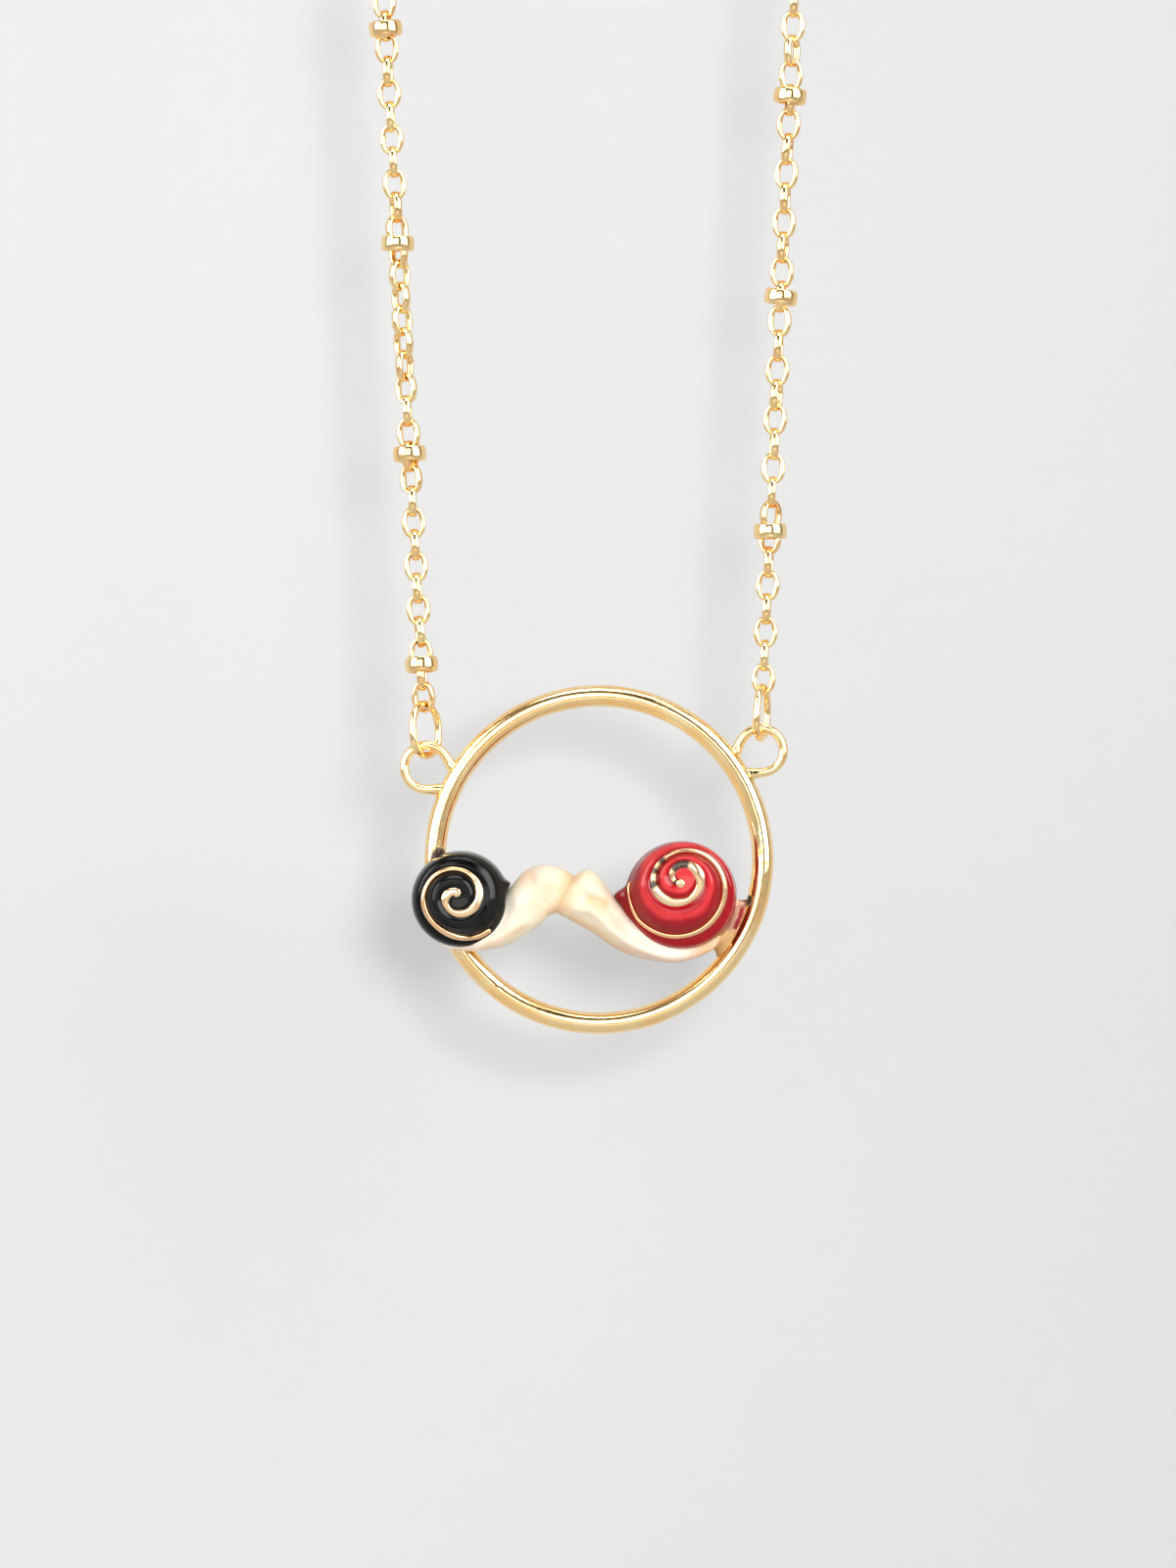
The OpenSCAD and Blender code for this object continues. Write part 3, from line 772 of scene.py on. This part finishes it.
headSeam = [(-2.15, -1.2), (-2.8, -2.4), (-3.05, -3.9), (-3.8, -4.7)]
leftBody = dict(
    rows=np.array([
        [-13.7, -6.75, 0.4, 0.7, 60], [-12.7, -6.9, 0.75, 1.2, 77], [-11, -6.8, 1.05, 1.6, 90],
        [-9.2, -6.05, 1.6, 2.1, 97], [-7.85, -5.15, 2, 2.5, 103], [-6.7, -4.2, 2.15, 2.8, 111],
        [-5.6, -3.2, 2.3, 2.8, 111], [-4.75, -2.72, 2.28, 2.7, 96], [-3.8, -2.72, 2.08, 2.5, 79],
        [-2.99, -2.93, 1.84, 2.2, 66]]),
    forms=[([(-5.2, -1.3), (-4.0, -1.6)], 0.85, 0.42), ([(-6.9, -3.4), (-5.9, -2.5)], 0.8, 0.26),
           ([(-6.1, -0.8), (-5.7, -1.9)], 0.34, -0.26), ([(-6.95, -4.1), (-6.7, -3.6)], 0.5, 0.24),
           ([(-10.5, -7.3), (-8.3, -6.6), (-6.2, -5.3)], 0.45, 0.28),
           ([(-3.8, -1.9), (-4.4, -3.6)], 0.45, -0.2)],
    tanShade=[(headSeam, 0.8, 1.0), ([(-7.2, -1.9), (-6.2, -1.4)], 0.6, 0.5),
         ([(-9.5, -7.2), (-6.5, -5.9)], 0.35, 0.5), ([(-5.5, -3.9), (-4.4, -3.2)], 0.8, 0.25)],
    rose=[([(-6.0, -0.9), (-5.6, -1.5)], 0.85, 0.75), ([(-12.0, -7.6), (-9.0, -7.6)], 0.6, 0.5),
          ([(-3.6, -4.3), (-3.0, -4.6)], 0.4, 0.5)])
rightBody = dict(
    rows=np.array([
        [10.4, -6.6, 0.4, 0.8, 290], [9.2, -7.2, 0.8, 1.2, 285], [7, -7.7, 1.1, 1.7, 270],
        [4.8, -7.4, 1.3, 2, 256], [2.9, -6.7, 1.5, 2.3, 252], [1.4, -5.6, 1.75, 2.6, 250],
        [0.25, -4.5, 1.95, 2.8, 249], [-0.75, -3.62, 2.27, 2.8, 247], [-1.93, -2.87, 2.3, 2.6, 245],
        [-2.91, -2.97, 1.8, 2.2, 243]]),
    forms=[([(-1.3, -1.7), (-0.2, -2.4)], 0.8, 0.42), ([(-1.0, -3.3), (0.6, -3.75)], 0.45, -0.26),
           ([(-1.9, -4.3), (-0.8, -4.25), (0.1, -5.0), (0.9, -6.0), (1.9, -6.75), (3.2, -7.55),
             (5.0, -8.3)], 0.5, 0.46),
           ([(0.6, -3.9), (1.6, -5.2), (2.8, -6.3), (4.4, -7.2)], 0.4, -0.22),
           ([(-2.35, -2.2), (-2.3, -2.7)], 0.3, 0.12)],
    tanShade=[(headSeam, 0.7, 0.9), ([(-0.7, -3.5), (0.5, -3.75)], 0.45, 1.2),
         ([(-2.3, -5.0), (-0.4, -5.9), (1.0, -7.2), (2.6, -8.1)], 0.3, 0.8),
         ([(10.6, -6.2), (9.6, -7.6)], 1.2, 1.6)],
    rose=[([(1.2, -3.9), (1.9, -5.5)], 0.8, 0.75), ([(2.0, -7.4), (6.0, -8.9), (9.0, -8.3)], 0.5, 0.7),
          ([(10.0, -6.5), (9.0, -7.8)], 1.4, 0.8)])
flesh = dict(press=0.16, noseRound=0.7, noseFrom=0.92, tailRound=0.8, tailFrom=0.12, sidePower=0.9,
             frontPower=0.75, shellGap=0.35, lowAtShell=0.88, lowBefore=0.2, lowOver=0.9, backInset=0.015,
             backY=0.02, paintedLightOver=0.9, sides=64, rowSteps=14)


def awayFrom(xz, points):
    # how far each place is from a line through the points
    best = np.full(xz.shape[:-1], np.inf)
    for start, end in zip(points[:-1], points[1:]):
        run = np.subtract(end, start)
        t = np.clip(((xz - start) @ run) / (run @ run), 0, 1)
        best = np.minimum(best, np.linalg.norm(xz - start - t[..., None] * run, axis=-1))
    return best


def heaped(xz, rows):
    return sum(height * bump(awayFrom(xz, points), 0, width) for points, width, height in rows)


def smoothRows(rows, steps):
    # rows between the given ones, on a curve through them
    padded = np.vstack([2 * rows[0] - rows[1], rows, 2 * rows[-1] - rows[-2]])
    made = []
    for i in range(len(rows) - 1):
        p0, p1, p2, p3 = padded[i:i + 4]
        for t in np.arange(steps) / steps:
            made.append(0.5 * (2 * p1 + (p2 - p0) * t + (2 * p0 - 5 * p1 + 4 * p2 - p3) * t ** 2
                               + (3 * p1 - p0 - 3 * p2 + p3) * t ** 3))
    made.append(rows[-1])
    return np.array(made)


def roundEnd(away, reach):
    # from 0 at an end to 1 at its reach, as a circle curves
    return np.sqrt(1 - (1 - np.clip(away / reach, 0, 1)) ** 2)


def bodyPart(body, shell):
    a = np.linspace(0, np.pi, flesh["sides"])
    smooth = smoothRows(body["rows"], flesh["rowSteps"])
    nose = smooth[-1].copy()
    nose[:2] += unit(smooth[-1, :2] - smooth[-4, :2]) * flesh["press"]  # the two heads press together
    smooth = np.vstack([smooth, nose])
    toNose, toTail = (np.linalg.norm(smooth[:, :2] - end[:2], axis=1) for end in (nose, smooth[0]))
    rounding = flesh["noseFrom"] + (1 - flesh["noseFrom"]) * roundEnd(toNose, flesh["noseRound"])
    rounding *= flesh["tailFrom"] + (1 - flesh["tailFrom"]) * roundEnd(toTail, flesh["tailRound"])
    rings, marks = [], {"tanShade": [], "rose": [], "pale": []}
    for (x, z, half, rise, turn), fit in zip(smooth, rounding):
        u = half * fit * squarer(np.cos(a), flesh["sidePower"])
        xz = polar(1.0, turn) * u[:, None] + [x, z]
        fromRim = np.linalg.norm(xz - shell["rim"], axis=1) - shell["rimR"]
        lift = rise * fit * np.sin(a) ** flesh["frontPower"] + heaped(xz, body["forms"]) * np.sin(a)
        high = smoothStep((fromRim + flesh["lowBefore"]) / flesh["lowOver"])
        lift = lift * (flesh["lowAtShell"] + (1 - flesh["lowAtShell"]) * high)
        inside = np.minimum(fromRim + flesh["shellGap"], 0)[:, None]
        xz = xz - inside * unit(xz - shell["rim"])
        backEdge = xz[[-1, 0]] * (1 - flesh["backInset"]) + np.array([x, z]) * flesh["backInset"]
        backEdge = inFrame(backEdge, stand["y"] + flesh["backY"])
        rings.append(np.vstack([inFrame(xz, stand["y"] - lift), backEdge]))
        # the tan tints are painted shade in the creases and the seam
        tints = {key: np.clip(heaped(xz, body[key]), 0, 1) for key in ("tanShade", "rose")}
        tints["pale"] = bump(np.maximum(fromRim, 0), 0, flesh["paintedLightOver"])  # painted light beside the shell, where the body lies in its shade
        for key, values in tints.items():
            marks[key].append(np.append(values, [0.0, 0.0]))  # the two points of its back are bare
    return skin(rings), {key: np.append(np.concatenate(values), [0.0, 1.0]) for key, values in marks.items()}


for body, shell in ((leftBody, blackShell), (rightBody, redShell)):
    part, marks = bodyPart(body, shell)
    piece(f"{shell['side']}_body", part, "pendant", f"snail_{shell['side']}_body",
          ivoryEnamel, marks)
print("bodies made")


# Hoop: the round wire, its two eyelets, the cast metal back of the snails and the solder, all one metal

seam = dict(at=232.0, depth=0.05, width=0.7)
eyelet = dict(mouth=40.0, runOn=16.0, bendFrom=108, bend=0.8, growth=2.4, solder=1.15, share=0.8, flare=0.5)
castBack = dict(thickness=1.1, inset=0.3, side=0.5, round=0.4, discInset=0.35, discEdge=0.25,
                discCentre=0.05, noseAt=(-2.95, -2.95), noseR=1.2, noseThickness=1.05)
# Enamel that ran onto the hoop, black at the left and red at the right: its lines and how wide they are
smears = dict(lines=[([(-13.2, -0.6), (-14.0, -0.45), (-13.75, 0.45)], 0.8),
                     ([(12.95, -3.3), (12.85, -3.7)], 0.3)], spread=1.35, front=0.3, frontOver=0.5)


def hoopWire(steps=360, sides=32):
    degrees = np.linspace(0, 360, steps, endpoint=False)
    ring = polar(1.0, degrees)
    out = np.stack([ring[:, 0], np.zeros(steps), ring[:, 1]], -1)
    wire = hoop["wire"] - seam["depth"] * bump(turnFrom(seam["at"], degrees), 0, seam["width"])
    path = inFrame(ring * hoopR, 0.0)
    return sweep(path, out, -faceOut, wire, wire, sides, loop=True)


def eyeletPart(angle, steps=130, sides=20):
    # an arc of wire whose two ends bend into the hoop and widen there as solder
    half = 180 - eyelet["mouth"] + eyelet["runOn"]
    turn = np.linspace(-half, half, steps)
    arc = polar(hoop["reach"], angle) + polar(eyeletR, angle + turn)
    inward = np.clip((np.abs(turn) - eyelet["bendFrom"]) / (half - eyelet["bendFrom"]), 0, 1)
    arc = arc - polar(1.0, angle) * (inward ** eyelet["growth"] * eyelet["bend"])[:, None]
    path = inFrame(arc, 0.0)
    tangent = unit(np.gradient(path, axis=0))
    fromWire = np.linalg.norm(arc, axis=1) - hoopR - hoop["wire"] / 2
    flare = np.exp(-np.maximum(fromWire, 0) / eyelet["flare"])
    wire = hoop["eyeletWire"] + (eyelet["solder"] - hoop["eyeletWire"]) * eyelet["share"] * flare
    return sweep(path, np.cross(tangent, -faceOut), -faceOut, wire, wire, sides)


def discPart(mid, r, thickness, sides=72, edgeRows=7):
    # a round disc with soft edges, its front on the metal back's front
    front, edge = stand["back"], castBack["discEdge"]
    back = front + thickness
    a = np.radians(np.linspace(90, 0, edgeRows))
    rim = np.stack([r - edge + edge * np.cos(a), edge * np.sin(a)], -1)
    low = rim[::-1] * [1, -1]
    depth = (back - front) / 2 - edge
    middles = [[[castBack["discCentre"], y]] for y in (depth + edge, -depth - edge)]
    profile = np.vstack([middles[0], rim + [0, depth], low - [0, depth], middles[1]])
    return revolve(profile, inFrame(mid, (front + back) / 2), -faceOut, rightward, sides)


def bodyBack(rows, steps=6, sides=20):
    # the metal under a body: a flat front and a softly rounded back
    rings = []
    a = np.linspace(0, np.pi, sides)
    for x, z, half, _, turn in smoothRows(rows, steps):
        u = max(castBack["inset"] / 2, half - castBack["inset"]) * squarer(np.cos(a), castBack["side"])
        xz = polar(1.0, turn) * u[:, None] + [x, z]
        back = inFrame(xz, stand["back"] + castBack["thickness"] * np.sin(a) ** castBack["round"])
        rings.append(back[::-1])
    return skin(rings)


def hoopPart():
    parts = [hoopWire(), *(eyeletPart(angle) for angle in eyeletAngles)]
    parts += [bodyBack(body["rows"]) for body in (leftBody, rightBody)]
    for shell in (blackShell, redShell):
        r = shell["rimR"] * math.cos(math.radians(stand["tuck"])) - castBack["discInset"]
        parts.append(discPart(shell["rim"], r, castBack["thickness"]))
    parts.append(discPart(castBack["noseAt"], castBack["noseR"], castBack["noseThickness"]))
    metal = joined(parts)
    places = metal[0][:, [0, 2]] - hoopMid
    away = np.minimum(*(awayFrom(places, points) / width for points, width in smears["lines"]))
    onFront = smoothStep(smears["front"] - metal[0][:, 1] / smears["frontOver"])
    return metal, {"stain": np.clip(smears["spread"] - away, 0, 1) * onFront}


# Solder web. Each row, from the top, is a line across it: x and z of its inner end and of its outer end.
web = dict(
    y=-0.45, hollow=0.35, hollowFade=6, dip=0.3, dipPower=3, thin=0.08, thick=0.5, thickPower=0.6,
    steps=8, sides=40,
    rows=np.array([
        [11.5, -3.3, 12.97, -3.35], [11.4, -3.9, 12.76, -4.1], [11.1, -4.7, 12.43, -5.0],
        [10.6, -5.5, 12.03, -5.9], [10.1, -6.2, 11.55, -6.8], [9.5, -6.8, 11.1, -7.5],
        [9.4, -7.1, 10.8, -7.95], [9.85, -7.65, 10.55, -8.3], [10.1, -8.2, 10.3, -8.6]]),
    redRun=[(12.3, -4.3), (12.1, -5.0), (11.75, -5.8)], redWidth=0.3, redSpread=1.25,
    yellowFrom=-5.4, yellowOver=1.2)


def webPart():
    # solder drawn out between the red shell, the tail of its snail and the hoop, with a hollow top edge
    edges = smoothRows(web["rows"], web["steps"])
    w = wholeTurn(web["sides"])
    rings = []
    for row, part in zip(edges, np.linspace(0, 1, len(edges))):
        hollow = (1 - np.cos(w) ** 2) * web["hollow"] * math.exp(-part * web["hollowFade"])
        dip = web["dip"] * (1 - np.abs(np.cos(w)) ** web["dipPower"])
        thick = web["thin"] + web["thick"] * math.sin(math.pi * part) ** web["thickPower"]
        xz = (row[:2] + row[2:]) / 2 + np.cos(w)[:, None] * (row[2:] - row[:2]) / 2
        xz[:, 1] -= hollow
        rings.append(inFrame(xz, web["y"] + dip + thick * np.sin(w)))
    part = skin(rings)
    places = part[0][:, [0, 2]] - hoopMid
    red = np.clip(web["redSpread"] - awayFrom(places, web["redRun"]) / web["redWidth"], 0, 1)
    low = smoothStep((web["yellowFrom"] - places[:, 1]) / web["yellowOver"])
    return part, {"red": red, "low": low}


part, marks = hoopPart()
piece("hoop_metal", part, "pendant", "hoop", hoopGold, marks)
part, marks = webPart()
piece("solder_web", part, "pendant", "hoop", solderMetal, marks)
print("hoop made")


# Backdrop, floor, light and camera

studio = dict(backdropY=42.0, backdropReach=900.0, backdropTop=700.0, backdropTone=0.469,
              floorZ=-330.0, floorReach=5000.0, floorTone=0.57)
# The sheet's edges and shares set the painted shade that darkens the paper to the right and below.
sheet = dict(right=(-80.0, 80.0), down=(-120.0, -270.0), rightShare=0.5, downShare=0.22,
             grain=(0.4, 3.0), grainShare=0.05, darkest=0.8, matt=0.9, sheen=0.1)


def stagePlane(name, corners, material):
    mesh = bpy.data.meshes.new(name)
    mesh.from_pydata([tuple(c * mm for c in corner) for corner in corners], [], [(0, 1, 2, 3)])
    mesh.materials.append(material)
    placed(name, mesh)


def paper(name, pale, hung):
    # the paper is painted a little darker to the right and below, as painted shade where the light falls off
    finish = Finish(name, {"Roughness": sheet["matt"], "Specular IOR Level": sheet["sheen"]})
    x, _, z = finish.axes(finish.place())
    right = finish.between(x, *(edge * mm for edge in sheet["right"]))
    down = finish.between(z, *(edge * mm for edge in sheet["down"]))
    grain = finish.noise(*sheet["grain"])
    shade = right * sheet["rightShare"] + down * sheet["downShare"] + grain * sheet["grainShare"]
    finish.output("Base Color", finish.tone(shade, [pale] * 3, [pale * sheet["darkest"]] * 3))
    if hung:  # the hung sheet only shows from the front, so it hides nothing from behind
        clear = finish.node("ShaderNodeBsdfTransparent", {}, {})
        behind = finish.node("ShaderNodeNewGeometry", {}, {}, "Backfacing")
        lit = Val(finish, finish.shader.outputs[0])
        mixed = finish.node("ShaderNodeMixShader", {}, {0: behind, 1: lit, 2: clear})
        finish.feed(finish.tree.nodes["Material Output"].inputs["Surface"], mixed)
    return finish.material


wide, back, low, tall = (studio[key] for key in ("backdropReach", "backdropY", "floorZ", "backdropTop"))
stagePlane("backdrop", [(-wide, back, low), (wide, back, low), (wide, back, tall), (-wide, back, tall)],
           paper("hung paper", studio["backdropTone"], True))
reach = studio["floorReach"]
stagePlane("floor", [(-reach, -reach, low), (reach, -reach, low), (reach, reach, low), (-reach, reach, low)],
           paper("floor paper", studio["floorTone"], False))

# The air round the pendant is a white tent. Each panel of it is brighter or darker than the rest: degrees
# to the right of the camera and up from it, where the panel begins and ends, its soft edge, its tone, and
# how much stronger it shows in sheens.
tent = dict(tone=0.25, seen=0.84, darkest=0.04)
panels = dict(
    frontPanel=(-20, 6, -4, 26, 6, 1.7, 1.0),
    nearLeft=(-42, -20, -25, 20, 8, 0.6, 3.0),
    leftPanel=(-76, -42, -30, 40, 9, 3.7, 1.3),
    rightPanel=(28, 66, -10, 46, 9, 5.6, 0.7),
    topPanel=(-50, 60, 60, 80, 7, 2.6, 1.2),
    darkRight=(9, 19, -40, 44, 4, -0.28, 0.0),
    darkTop=(-40, 60, 47, 56, 4, -0.28, 0.0),
)


class Air(Finish):
    def __init__(self, name):
        self.world = bpy.data.worlds.new(name)
        self.world.use_nodes = True
        self.tree = self.world.node_tree
        self.shader = self.tree.nodes["Background"]
        self.shader.inputs["Color"].default_value = (1.0, 1.0, 1.0, 1.0)


def tentLight():
    air = Air("white tent")
    x, y, z = air.axes(air.node("ShaderNodeTexCoord", {}, {}, "Generated"))
    across = air.node("ShaderNodeMath", {"operation": "ARCTAN2"}, {0: x, 1: 0 - y}) * math.degrees(1)
    up = air.node("ShaderNodeMath", {"operation": "ARCSINE"}, {0: z}) * math.degrees(1)
    inSheen = air.node("ShaderNodeLightPath", {}, {}, "Is Glossy Ray")
    seen = air.node("ShaderNodeLightPath", {}, {}, "Is Camera Ray")
    tone = tent["tone"]
    for left, right, bottom, top, soft, change, stronger in panels.values():
        inside = air.between(across, left - soft, left + soft)
        inside = inside * air.between(across, right + soft, right - soft)
        inside = inside * air.between(up, bottom - soft, bottom + soft)
        inside = inside * air.between(up, top + soft, top - soft)
        tone = tone + inside * change * (inSheen * stronger + 1)
    lit = air.node("ShaderNodeMath", {"operation": "MAXIMUM"}, {0: tone, 1: tent["darkest"]})
    air.output("Strength", lit * (1 - seen) + seen * tent["seen"])
    bpy.context.scene.world = air.world


tentLight()
keyLamp = dict(at=(60, -620, 50), size=80, radiance=150.0)


def softLamp(name, at, size, radiance):
    # at is its middle, from the middle of the pendant, and it faces the pendant
    aim = Vector((hoopMid[0], 0.0, hoopMid[1])) * mm
    light = bpy.data.lights.new(name, "AREA")
    light.shape = "DISK"
    light.size = size * mm
    light.energy = radiance * math.pi ** 2 * (size * mm / 2) ** 2
    made = placed(name, light)
    made.location = aim + Vector(at) * mm
    made.rotation_euler = (aim - made.location).to_track_quat("-Z", "Y").to_euler()
    made.visible_camera = False
    made.visible_glossy = False


softLamp("key lamp", **keyLamp)

view = dict(x=0.44, z=-184.6, height=134.8, distance=750.0, sensor=36.0, nearest=10.0, farthest=20000.0)
camera = bpy.data.cameras.new("camera")
camera.sensor_width = view["sensor"]
camera.lens = view["sensor"] * view["distance"] / view["height"]
camera.clip_start, camera.clip_end = view["nearest"] * mm, view["farthest"] * mm
cameraObject = placed("camera", camera)
cameraObject.location = (view["x"] * mm, -view["distance"] * mm, view["z"] * mm)
cameraObject.rotation_euler = (math.radians(90), 0, 0)
bpy.context.scene.camera = cameraObject
bpy.context.scene.view_settings.view_transform = "Standard"

print("scene ready")
